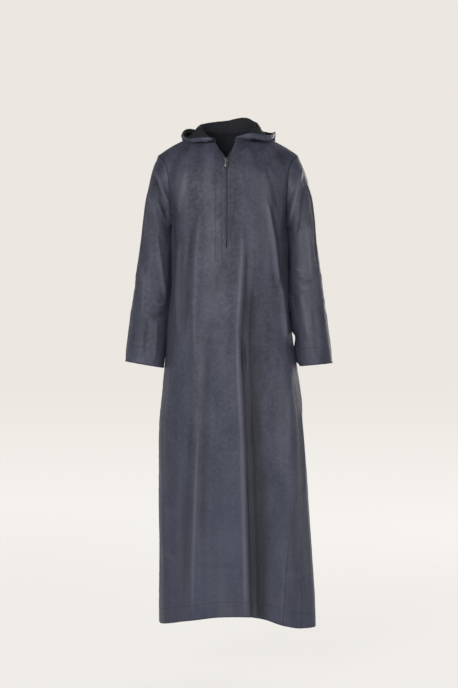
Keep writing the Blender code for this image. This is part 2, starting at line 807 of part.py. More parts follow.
def make_hood(name, hand):
    rows = [hood_section(hand, angle, seam) for angle, seam in hood_columns(hand)]
    rows[-1] = [Vector((hand * SEAM / 2, point.y, point.z)) for point in rows[-1]]
    normals = grid_normals(rows, False)
    outer = []
    inner = []
    for r, row in enumerate(rows):
        for c, point in enumerate(row):
            inward = normals[r][c] * hand
            if r == len(rows) - 1:
                inward = Vector((0, inward.y, inward.z)).normalized()
            if c == 0:
                inward = Vector((inward.x, inward.y, 0)).normalized()
            outer.append(point)
            inner.append(point + inward * WALL)
    faces = grid_faces(len(rows), len(rows[0]), hand > 0)
    return make_wall(name, outer, inner, faces)


def on_slit(inner, place, column=0):
    """Point on the inside of the front panel beside the slit, at a place between two rows."""
    low = min(int(place), len(inner) - 2)
    return inner[low][column].lerp(inner[low + 1][column], place - low)


def tape_section(hand, sides, place):
    """Points round one tape and its half of the chain, at a place up the slit."""
    edge = on_slit(sides[hand], place)
    middle = (edge.x + on_slit(sides[-hand], place).x) / 2
    across = Vector((hand, 0, 0))
    along = (on_slit(sides[hand], place, 1) - edge).normalized()
    up = on_slit(sides[hand], place + 0.3) - on_slit(sides[hand], place - 0.3)
    shown = abs(edge.x - middle) - reading(CHAIN_EDGE, "away", edge.z)
    bend = max(shown, ZIP_BEND)
    face = mix(SEAM, TAPE_CLEAR, clamp(place - SLIDER_ROW - 1, 0, 1))
    back = face + TAPE_THICK
    outline = [(0.0, face), (bend, face), (TAPE_WIDTH, face), (TAPE_WIDTH, back), (bend, back)]
    outline += [(CHAIN_WIDTH, back), (CHAIN_WIDTH, face + CHAIN_THICK), (0.0, face + CHAIN_THICK)]
    points = []
    for reach, depth in outline:
        beside = across if reach < shown else along
        facing = beside.cross(up).normalized() * hand
        points.append(edge + beside * (reach - shown) - facing * depth)
    return points


def make_tape(name, hand, sides):
    places = [SLIDER_ROW + step for step in SLIDER_STEPS]
    places += list(range(SLIT_ROW, len(RISES) - 1)) + [ZIP_TOP]
    sections = [tape_section(hand, sides, place) for place in sorted(places)]
    return make_prism(name, sections, TAPE_CLOTH, True)


def make_prism(name, sections, finish, rounded=False):
    """Closed body through a row of sections that have the same number of points."""
    count = len(sections[0])
    last = (len(sections) - 1) * count
    faces = [tuple(range(count)), tuple(last + index for index in range(count))]
    for start in range(0, last, count):
        for index in range(count):
            after = (index + 1) % count
            faces.append((
                start + index, start + after, start + count + after, start + count + index,
            ))
    return make_object(name, flat_list(sections), faces, finish, rounded)


def make_plate(name, outline, span, finish, side=1):
    """Outline in X and Z, given a thickness along Y."""
    sections = [[Vector((side * x, y, z)) for x, z in outline] for y in span]
    return make_prism(name, sections, finish)


def unite(thing, extras):
    """Join helper bodies to a piece and hide them."""
    for extra in extras:
        extra.location = thing.location
        extra.rotation_euler = thing.rotation_euler
        extra.hide_render = True
        extra.display_type = "WIRE"
        union = thing.modifiers.new(extra.name, "BOOLEAN")
        union.operation = "UNION"
        union.solver = "EXACT"
        union.object = extra


def make_slider(name, place, tilt):
    """Front and back plates round the chain, a post between its halves and a bridge in front."""
    slider = make_plate(name, PLATE_OUTLINE, FRONT_PLATE, NICKEL)
    slider.location = place
    slider.rotation_euler.x = tilt
    back = make_plate("slider_back", PLATE_OUTLINE, BACK_PLATE, NICKEL)
    inside = (FRONT_PLATE[0] + FRONT_PLATE[1]) / 2, (BACK_PLATE[0] + BACK_PLATE[1]) / 2
    post = make_plate("slider_post", POST_OUTLINE, inside, NICKEL)
    rise = (FLANGE_RISE, inside[1])
    flanges = [make_plate("slider_flange", FLANGE_OUTLINE, rise, NICKEL, side) for side in (-1, 1)]
    arch = [[Vector((x, y, z)) for z, y in BRIDGE_OUTLINE] for x in (-BRIDGE_HALF, BRIDGE_HALF)]
    bridge = make_prism("slider_bridge", arch, NICKEL)
    unite(slider, [post, back] + flanges + [bridge])


def make_pull_tab(name, pivot):
    """Flat tab with two arms and a bar, whose origin is on the bar's axis."""
    span = (-TAB_HALF_THICK, TAB_HALF_THICK)
    tab = make_plate(name, TAB_OUTLINE, span, NICKEL)
    tab.location = pivot
    tab.rotation_euler.x = math.radians(TAB_TILT)
    near, far = TAB_ARM
    arm = ((near, 0.0), (far, 0.0), (far, TAB_ARM_END), (near, TAB_ARM_END))
    arms = [make_plate("tab_arm", arm, span, NICKEL, side) for side in (-1, 1)]
    turns = [math.radians(30 * step) for step in range(12)]
    round_bar = [
        [Vector((x, TAB_BAR * math.sin(turn), TAB_BAR * math.cos(turn))) for turn in turns]
        for x in (-TAB_BAR_HALF, TAB_BAR_HALF)
    ]
    unite(tab, arms + [make_prism("tab_bar", round_bar, NICKEL, True)])


def make_zip():
    sides = {hand: half_panel(-1, hand)[1] for hand in (-1, 1)}
    for hand in sides:
        make_tape("zip_tape_" + side_name(hand), hand, sides)
    low, high = [
        (on_slit(sides[-1], row) + on_slit(sides[1], row)) / 2 for row in (SLIDER_ROW, SLIDER_ROW + 1)
    ]
    middle = low.lerp(high, (SLIDER_HEIGHT - low.z) / (high.z - low.z))
    up = (high - low).normalized()
    out = Vector((0, -up.z, up.y))
    make_slider("zip_slider", middle, -math.atan2(up.y, up.z))
    up.x = 0
    make_pull_tab("zip_pull_tab", middle + up * PIVOT_UP + out * PIVOT_OUT)


for thing in list(bpy.data.objects):
    bpy.data.objects.remove(thing, do_unlink=True)

make_panel("front_panel", -1, SLIT_ROW)
make_panel("back_panel", 1, len(RISES) - 1)
for hand_sign in (-1, 1):
    side_text = side_name(hand_sign)
    make_gore("front_gore_" + side_text, hand_sign, "front_", "side_")
    make_gore("back_gore_" + side_text, hand_sign, "side_", "back_")
    make_sleeve("sleeve_" + side_text, hand_sign)
    make_hood("hood_" + side_text, hand_sign)
make_zip()
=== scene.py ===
import math

import bmesh
import bpy
import numpy as np
from mathutils import Matrix, Vector, noise
from mathutils.bvhtree import BVHTree
from mathutils.kdtree import KDTree


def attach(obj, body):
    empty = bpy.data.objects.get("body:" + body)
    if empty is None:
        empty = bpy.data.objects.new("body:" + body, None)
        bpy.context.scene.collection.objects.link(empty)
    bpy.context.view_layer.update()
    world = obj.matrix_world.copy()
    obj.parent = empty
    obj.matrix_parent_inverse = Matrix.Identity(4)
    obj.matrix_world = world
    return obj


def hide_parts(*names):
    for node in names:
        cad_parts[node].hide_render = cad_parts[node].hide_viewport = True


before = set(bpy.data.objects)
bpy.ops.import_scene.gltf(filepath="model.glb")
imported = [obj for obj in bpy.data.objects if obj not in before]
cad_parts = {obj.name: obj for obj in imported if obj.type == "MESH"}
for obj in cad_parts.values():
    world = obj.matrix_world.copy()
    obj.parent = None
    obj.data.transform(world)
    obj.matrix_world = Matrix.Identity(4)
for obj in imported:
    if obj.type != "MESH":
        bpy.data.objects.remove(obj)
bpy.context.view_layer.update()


# ---------------------------------------------------------------------------------------------
# Body of the robe. A front, a back and four side gores of slate polyester satin, cut flat,
# overlocked and joined with plain seams, with a deep turned hem. The panels hang from the
# shoulders, so the main folds run down to the hem and small ones gather along the seams.
# ---------------------------------------------------------------------------------------------

# Thickness of the shell, single and turned double, and the length of the step between them
CLOTH = 0.0013
TURNED_CLOTH = 0.0023
TURN_STEP = 0.004
# How deep the hem is turned, and how far inside the turning's end its stitches run
HEM_DEPTH = 0.038
STITCH_INSET = 0.002
# How far off a piece's edge can lie from the edge that it is sewn to, and the gap left between
SEAM_SEARCH = {"front": 0.006, "back": 0.006, "sleeve": 0.006, "hood": 0.0022}
SEAM_MEET = 0.00015
# Edges lower than this are free if nothing lies within the gap: hem, cuffs and rim
FREE_BELOW = {"front": -1.1, "back": -1.1, "sleeve": -0.5, "hood": 1.0}
FREE_GAP = 0.0022
# How deep the cloth sinks beside a seam, and how far from it; the sleeves rise instead
SEAM_ROLL = {"front": 0.0003, "back": 0.0003, "sleeve": -0.0006, "hood": 0.0006}
SEAM_REACH = 0.0065
# A sleeve's side creases start this far from its seams, and a crease this high gets the full painted
# highlight, a trough this deep the full painted shade
ARMHOLE_CALM = 0.015
FULL_PAINTED_LIGHT_LIFT = 0.006
WALL_EDGE = math.radians(62)
# Size, height and stretch of the waves of hanging cloth, of its ripple and of its seam pucker
HANG = (0.045, 0.0011)
RIPPLE = (0.016, 0.00035, 0.7)
PUCKER = (0.009, 0.0011, 1.0)
PUCKER_REACH = 0.022
PUCKER_START = 0.004
# Half widths of a seam's shade, a stitch row's groove, the fretting beside it and the placket's
SEAM_HALF = 0.0022
GROOVE_HALF = 0.0016
FRET_HALF = 0.012
ROW_HALF = 0.0017
FLAP_HALF = 0.034
# The zip's line across the front, where it and its placket end, and the placket's stitch rows
ZIP_LINE = -0.0033
ZIP_END = -0.290
PLACKET_END = -0.306
PLACKET_LINES = (-0.0305, -0.0147, -0.0063, 0.0010, 0.0073, 0.0170, 0.0225)


def color(code):
    """Linear colour of an sRGB hex value."""
    parts = [int(code[place:place + 2], 16) / 255 for place in (0, 2, 4)]
    return [((p + 0.055) / 1.055) ** 2.4 if p > 0.04045 else p / 12.92 for p in parts] + [1.0]


def add(tree, kind, inputs=None, **settings):
    """Add a shader node; an input is a value, a socket, or a node for its first output."""
    node = tree.nodes.new("ShaderNode" + kind)
    for name, value in settings.items():
        setattr(node, name, value)
    for name, value in (inputs or {}).items():
        if isinstance(value, bpy.types.Node):
            value = value.outputs[0]
        if isinstance(value, bpy.types.NodeSocket):
            tree.links.new(value, node.inputs[name])
        else:
            node.inputs[name].default_value = value
    return node


def new_material(name):
    """A new material with its node tree and its surface shader."""
    material = bpy.data.materials.new(name)
    material.use_nodes = True
    return material, material.node_tree, material.node_tree.nodes["Principled BSDF"]


def pulse(tree, value, place, half):
    """1 where a value is at a place, fading to 0 at half on both sides of it."""
    off = add(tree, "Math", {0: value, 1: place}, operation="SUBTRACT")
    away = add(tree, "Math", {0: off}, operation="ABSOLUTE")
    limits = {"Value": away, "From Min": 0.0, "From Max": half, "To Min": 1.0, "To Max": 0.0}
    return add(tree, "MapRange", limits, interpolation_type="SMOOTHSTEP").outputs[0]


def slate_satin(name, lines=()):
    """Brushed polyester satin: cool slate, dull face on and silky where light rakes its nap.

    Real threads lie 0.3 mm apart. They are drawn 1.2 mm apart, so that the weave shows.
    """
    material, tree, shader = new_material(name)
    place = add(tree, "TexCoord").outputs["Object"]
    down = add(tree, "Mapping", {"Vector": place, "Scale": (1.0, 1.0, 0.07)})
    over = add(tree, "Mapping", {"Vector": place, "Scale": (0.07, 0.07, 1.0)})
    drawn = add(tree, "Mapping", {"Vector": place, "Scale": (1.0, 1.0, 0.5)})
    warp = add(tree, "TexNoise", {"Vector": down, "Scale": 420.0, "Detail": 2.0})
    weft = add(tree, "TexNoise", {"Vector": over, "Scale": 420.0, "Detail": 2.0})
    nap = add(tree, "TexNoise", {"Vector": place, "Scale": 130.0, "Detail": 3.0})
    cloud = add(tree, "TexNoise", {"Vector": down, "Scale": 24.0, "Detail": 2.0})
    bloom = add(tree, "TexNoise", {"Vector": drawn, "Scale": 25.0, "Detail": 3.5})
    axes = add(tree, "SeparateXYZ", {"Vector": place})

    # The dye is uneven over a hand's width, cooler towards the hem and greyer where it is worn
    tone = add(tree, "Math", {0: nap, 1: 0.28}, operation="MULTIPLY")
    tone = add(tree, "Math", {0: cloud, 1: 0.38, 2: tone}, operation="MULTIPLY_ADD")
    tone = add(tree, "Math", {0: bloom, 1: 0.34, 2: tone}, operation="MULTIPLY_ADD")
    dye = add(tree, "ValToRGB", {"Fac": tone})
    dye.color_ramp.elements[0].position = 0.38
    dye.color_ramp.elements[0].color = color("262834")
    dye.color_ramp.elements[1].position = 0.62
    dye.color_ramp.elements[1].color = color("404352")
    fall = add(tree, "MapRange", {"Value": axes.outputs["Z"], "From Min": -0.25, "From Max": -1.0})
    low = add(tree, "Math", {0: fall, 1: 0.6}, operation="MULTIPLY")
    cooler = add(tree, "Mix", {0: low, 6: dye, 7: color("363b4c")}, data_type="RGBA").outputs[2]
    limits = {"Value": cloud, "From Min": 0.52, "From Max": 0.68, "To Max": 0.45}
    worn = add(tree, "MapRange", limits, interpolation_type="SMOOTHSTEP")
    dyed = add(tree, "Mix", {0: worn, 6: cooler, 7: color("45444d")}, data_type="RGBA").outputs[2]

    # Painted highlight: the colour is lighter on a crease's ridge. Painted shade: it is darker down in
    # a trough
    painted_crease_light_shade = add(tree, "Attribute", attribute_name="painted_crease_light_shade").outputs["Fac"]
    up = add(tree, "MapRange", {"Value": painted_crease_light_shade, "To Max": 0.5})
    dyed = add(tree, "Mix", {0: up, 6: dyed, 7: color("5b5c69")}, data_type="RGBA").outputs[2]
    under = add(tree, "MapRange", {"Value": painted_crease_light_shade, "From Max": -1.0, "To Max": 0.82})
    dyed = add(tree, "Mix", {0: under, 6: dyed, 7: color("16171e")}, data_type="RGBA").outputs[2]

    # Seams and stitch rows sink into the cloth, and the cloth is fretted beside them
    edge_way = add(tree, "Attribute", attribute_name="edge_way").outputs["Fac"]
    stitch_way = add(tree, "Attribute", attribute_name="stitch_way").outputs["Fac"]
    seam = pulse(tree, edge_way, 0.0, SEAM_HALF)
    groove = pulse(tree, stitch_way, 0.0, GROOVE_HALF)
    beside = pulse(tree, stitch_way, 0.0, FRET_HALF)
    fret = add(tree, "Math", {0: beside, 1: nap}, operation="MULTIPLY")
    if lines:
        above = add(tree, "MapRange", {
            "Value": axes.outputs["Z"], "From Min": PLACKET_END, "From Max": PLACKET_END + 0.003,
        })
        facing = add(tree, "MapRange", {"Value": axes.outputs["Y"], "From Max": -0.01})
        zone = add(tree, "Math", {0: above, 1: facing}, operation="MULTIPLY")
        for line in lines:
            row = pulse(tree, axes.outputs["X"], line, ROW_HALF)
            row = add(tree, "Math", {0: row, 1: zone}, operation="MULTIPLY")
            groove = add(tree, "Math", {0: groove, 1: row}, operation="MAXIMUM")
        flap = pulse(tree, axes.outputs["X"], ZIP_LINE, FLAP_HALF)
        flap = add(tree, "Math", {0: flap, 1: zone}, operation="MULTIPLY")
        flap = add(tree, "Math", {0: flap, 1: weft}, operation="MULTIPLY")
        fret = add(tree, "Math", {0: fret, 1: flap}, operation="MAXIMUM")

    # Painted shade: the colour darkens along the seams and in the stitch grooves, the placket's rows
    # among them
    deep = add(tree, "Math", {0: seam, 1: 0.4}, operation="MULTIPLY")
    sunk = add(tree, "Math", {0: groove, 1: 0.2}, operation="MULTIPLY")
    shade = add(tree, "Math", {0: deep, 1: sunk}, operation="MAXIMUM")
    dyed = add(tree, "Mix", {0: shade, 6: dyed, 7: color("1c1d24")}, data_type="RGBA").outputs[2]
    tree.links.new(dyed, shader.inputs["Base Color"])

    gloss = add(tree, "Math", {0: nap, 1: 0.5}, operation="MULTIPLY")
    gloss = add(tree, "Math", {0: bloom, 1: 0.5, 2: gloss}, operation="MULTIPLY_ADD")
    limits = {"Value": gloss, "From Min": 0.62, "From Max": 0.38, "To Min": 0.56, "To Max": 0.68}
    rough = add(tree, "MapRange", limits)
    tree.links.new(rough.outputs[0], shader.inputs["Roughness"])
    shader.inputs["Sheen Weight"].default_value = 0.12
    shader.inputs["Sheen Roughness"].default_value = 0.38
    shader.inputs["Sheen Tint"].default_value = color("9fa2b8")
    shader.inputs["IOR"].default_value = 1.48
    shader.inputs["Specular IOR Level"].default_value = 0.34

    threads = add(tree, "Math", {0: warp, 1: weft}, operation="MAXIMUM")
    grain = add(tree, "Math", {0: threads, 1: 0.5}, operation="MULTIPLY")
    grain = add(tree, "Math", {0: nap, 1: 0.6, 2: grain}, operation="MULTIPLY_ADD")
    fine = add(tree, "Bump", {"Height": grain, "Strength": 0.28, "Distance": 0.0006})
    rucked = add(tree, "Bump", {
        "Height": fret, "Strength": 0.4, "Distance": 0.0012, "Normal": fine,
    })
    sewn = add(tree, "Bump", {
        "Height": groove, "Strength": 0.7, "Distance": 0.0008, "Normal": rucked,
    }, invert=True)
    tree.links.new(sewn.outputs[0], shader.inputs["Normal"])
    return material


def dull_reverse_painted_shade():
    """Reverse of the satin: the dull back of the same weave, with no brushed nap, its darker colour
    partly real and partly painted shade inside the hood and the slit.
    """
    material, tree, shader = new_material("slate_satin_reverse_painted_shade")
    place = add(tree, "TexCoord").outputs["Object"]
    over = add(tree, "Mapping", {"Vector": place, "Scale": (0.07, 0.07, 1.0)})
    weft = add(tree, "TexNoise", {"Vector": over, "Scale": 420.0, "Detail": 2.0})
    # Darker than the face: partly the duller back of the weave, partly painted shade
    dyed = add(tree, "Mix", {0: weft, 6: color("1b1c21"), 7: color("26272e")}, data_type="RGBA")
    tree.links.new(dyed.outputs[2], shader.inputs["Base Color"])
    rough = add(tree, "MapRange", {"Value": weft, "To Min": 0.75, "To Max": 0.9})
    tree.links.new(rough.outputs[0], shader.inputs["Roughness"])
    shader.inputs["Specular IOR Level"].default_value = 0.2
    bump = add(tree, "Bump", {"Height": weft, "Strength": 0.2, "Distance": 0.0005})
    tree.links.new(bump.outputs[0], shader.inputs["Normal"])
    return material


def reach_out(face):
    """How far a face is from the robe's middle line, if it faces away from it."""
    spot = face.calc_center_median().xy
    return spot.length if face.normal.xy.dot(spot) > 0.5 * spot.length else 0.0


def outer_skin(node):
    """Outer face of a cloth wall as quads, split from the inner face at the wall's edges."""
    skin = bmesh.new()
    skin.from_mesh(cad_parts[node].data)
    bmesh.ops.remove_doubles(skin, verts=skin.verts, dist=2e-5)
    bmesh.ops.split_edges(skin, edges=[e for e in skin.edges if e.calc_face_angle(0) > WALL_EDGE])
    islands = []
    left = set(skin.faces)
    while left:
        island = [left.pop()]
        for face in island:
            for edge in face.edges:
                for other in edge.link_faces:
                    if other in left:
                        left.remove(other)
                        island.append(other)
        islands.append(island)
    islands.sort(key=lambda island: sum(face.calc_area() for face in island))
    kept = set(max(islands[-2:], key=lambda island: max(reach_out(face) for face in island)))
    bmesh.ops.delete(skin, geom=[face for face in skin.faces if face not in kept], context="FACES")
    bmesh.ops.join_triangles(
        skin, faces=skin.faces, angle_face_threshold=math.radians(60),
        angle_shape_threshold=math.radians(60),
    )
    return skin


def refined(skin, levels):
    """Smooth surface through a coarse skin, as a mesh."""
    mesh = bpy.data.meshes.new("skin")
    skin.to_mesh(mesh)
    skin.free()
    coarse = bpy.data.objects.new("skin", mesh)
    bpy.context.scene.collection.objects.link(coarse)
    smooth = coarse.modifiers.new("smooth", "SUBSURF")
    smooth.levels = levels
    smooth.render_levels = levels
    smooth.boundary_smooth = "PRESERVE_CORNERS"
    bpy.context.view_layer.update()
    evaluated = coarse.evaluated_get(bpy.context.evaluated_depsgraph_get())
    fine = bpy.data.meshes.new_from_object(evaluated)
    bpy.data.objects.remove(coarse, do_unlink=True)
    return fine


def edge_points(mesh):
    """Points of a mesh's open edges."""
    shape = bmesh.new()
    shape.from_mesh(mesh)
    points = [v.co.copy() for v in shape.verts if v.is_boundary]
    shape.free()
    return points


def wall_tree(node):
    """Search tree over one cloth wall of the frame."""
    shape = bmesh.new()
    shape.from_mesh(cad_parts[node].data)
    tree = BVHTree.FromBMesh(shape)
    shape.free()
    return tree


def neighbour(node, point, limit=FREE_GAP, start=""):
    """Nearest point on another piece within a limit, or None; pieces named start are left out."""
    skipped = [name for name in walls if name == node or (start and name.startswith(start))]
    others = [tree for name, tree in walls.items() if name not in skipped]
    found = [tree.find_nearest(point, limit) for tree in others]
    found = [hit for hit in found if hit[0] is not None]
    return min(found, key=lambda hit: hit[3])[0] if found else None


def free_points(node, points):
    """Those of a piece's edge points that are sewn to nothing: hem, cuff or rim."""
    highest = FREE_BELOW[node.split("_")[0]]
    return [point for point in points if point.z < highest and neighbour(node, point) is None]


def meet_seams(node, mesh, points):
    """Move the sewn edges up to the pieces that they are sewn to, so that they meet."""
    kind = node.split("_")[0]
    shape = bmesh.new()
    shape.from_mesh(mesh)
    for vert in shape.verts:
        if vert.is_boundary and (kind == "hood" or vert.co.z > FREE_BELOW[kind]):
            hit = neighbour(node, vert.co, SEAM_SEARCH[kind], "zip")
            if hit:
                way = hit - vert.co
                points[vert.index] += np.array(way * max(0.0, 1 - SEAM_MEET / max(way.length, 1e-6)))
    shape.free()


def nearness(points, targets):
    """Distance from each point to the nearest target point."""
    if not targets:
        return np.full(len(points), 1.0)
    tree = KDTree(len(targets))
    for place, target in enumerate(targets):
        tree.insert(target, place)
    tree.balance()
    return np.array([tree.find(point)[2] for point in points])


def soft(value):
    """Smooth step from 0 to 1."""
    value = np.clip(value, 0.0, 1.0)
    return value * value * (3 - 2 * value)


def crease_lift(creases, points, normals):
    """How far creases move each point out of the cloth.

    A crease is the side that it shows on, its half width, its height, and its path. It is widest
    and highest in the middle and fades at both ends. Below zero it is a trough.
    """
    facing = {
        "front": -normals[:, 1], "back": normals[:, 1], "left": -normals[:, 0], "right": normals[:, 0],
    }
    total = np.zeros(len(points))
    for side, half_width, height, *path in creases:
        across = points[:, 0] if side in ("front", "back") else points[:, 1]
        spots = np.stack((across, points[:, 2]), axis=1)
        path = np.array(path)
        runs = np.linalg.norm(np.diff(path, axis=0), axis=1)
        starts = np.concatenate(([0.0], np.cumsum(runs)))
        nearest = np.full(len(points), 9.0)
        along = np.zeros(len(points))
        for place, run in enumerate(runs):
            way = (path[place + 1] - path[place]) / run
            offset = spots - path[place]
            reach = np.clip(offset @ way, 0, run)
            away = np.linalg.norm(offset - reach[:, None] * way, axis=1)
            closer = away < nearest
            nearest[closer] = away[closer]
            along[closer] = (starts[place] + reach[closer]) / starts[-1]
        half = half_width * (0.55 + 0.45 * np.sin(along * math.pi))
        beside = 1 - np.clip(nearest / half, 0, 1)
        profile = (soft(beside) + beside ** 2) / 2
        ends = soft(along / 0.2) * soft((1 - along) / 0.2)
        total += height * profile * ends * soft((facing[side] - 0.05) / 0.35)
    return total


def waves(points, size, height, down=0.4):
    """Slow uneven waves of hanging cloth, longer down than across."""
    stretch = Vector((1.0, 1.0, down)) / size
    return np.array([noise.noise(Vector(p) * stretch) for p in points]) * height


def sew_panel(node, creases, material, turned=HEM_DEPTH, levels=3):
    """Dress one cloth node: a thin shell with its creases, rolled seams and turned hem."""
    mesh = refined(outer_skin(node), levels)
    points = np.array([v.co for v in mesh.vertices])
    normals = np.array([v.normal for v in mesh.vertices])
    edges = edge_points(mesh)
    to_edge = nearness(points, edges)
    to_hem = nearness(points, free_points(node, edges))
    faced = [row for row in creases if row[0] in ("front", "back")]
    faced_crease_lift = crease_lift(faced, points, normals)
    beside = crease_lift([row for row in creases if row not in faced], points, normals)
    if node.startswith("sleeve"):
        beside *= soft(to_edge / ARMHOLE_CALM)
    # Slow waves and a finer ripple all over, and a pucker beside each seam
    lift = faced_crease_lift + beside
    lift += waves(points, *HANG) + waves(points, *RIPPLE)
    pucker = np.exp(-to_edge / PUCKER_REACH) * (1 - np.exp(-to_edge / PUCKER_START))
    lift += waves(points, *PUCKER) * pucker
    lift -= SEAM_ROLL[node.split("_")[0]] * (1 - soft(to_edge / SEAM_REACH))
    points = points + normals * lift[:, None]
    meet_seams(node, mesh, points)
    mesh.vertices.foreach_set("co", points.ravel().astype(np.float32))
    mesh.update()
    # The front and back creases' lift sets where highlight and shade are painted into the colour
    ways = {
        "edge_way": to_edge, "stitch_way": to_hem - turned + STITCH_INSET,
        "painted_crease_light_shade": np.clip(faced_crease_lift / FULL_PAINTED_LIGHT_LIFT, -1, 1),
    }
    for name, values in ways.items():
        layer = mesh.attributes.new(name, "FLOAT", "POINT")
        layer.data.foreach_set("value", values.astype(np.float32))
    mesh.shade_smooth()
    mesh.materials.clear()
    mesh.materials.append(material)
    # The inner face gets the back's material, whose dark colour is partly painted shade
    mesh.materials.append(reverse_with_painted_shade)
    piece = bpy.data.objects.new(node + "_cloth", mesh)
    bpy.context.scene.collection.objects.link(piece)
    group = piece.vertex_groups.new(name="turned")
    for place, way in enumerate(to_hem):
        group.add([place], float(soft((turned + TURN_STEP / 2 - way) / TURN_STEP)), "REPLACE")
    thick = piece.modifiers.new("thick", "SOLIDIFY")
    thick.thickness = TURNED_CLOTH
    thick.offset = -1
    thick.vertex_group = "turned"
    thick.thickness_vertex_group = CLOTH / TURNED_CLOTH
    thick.material_offset = 1
    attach(piece, "robe")
    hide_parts(node)
    return piece


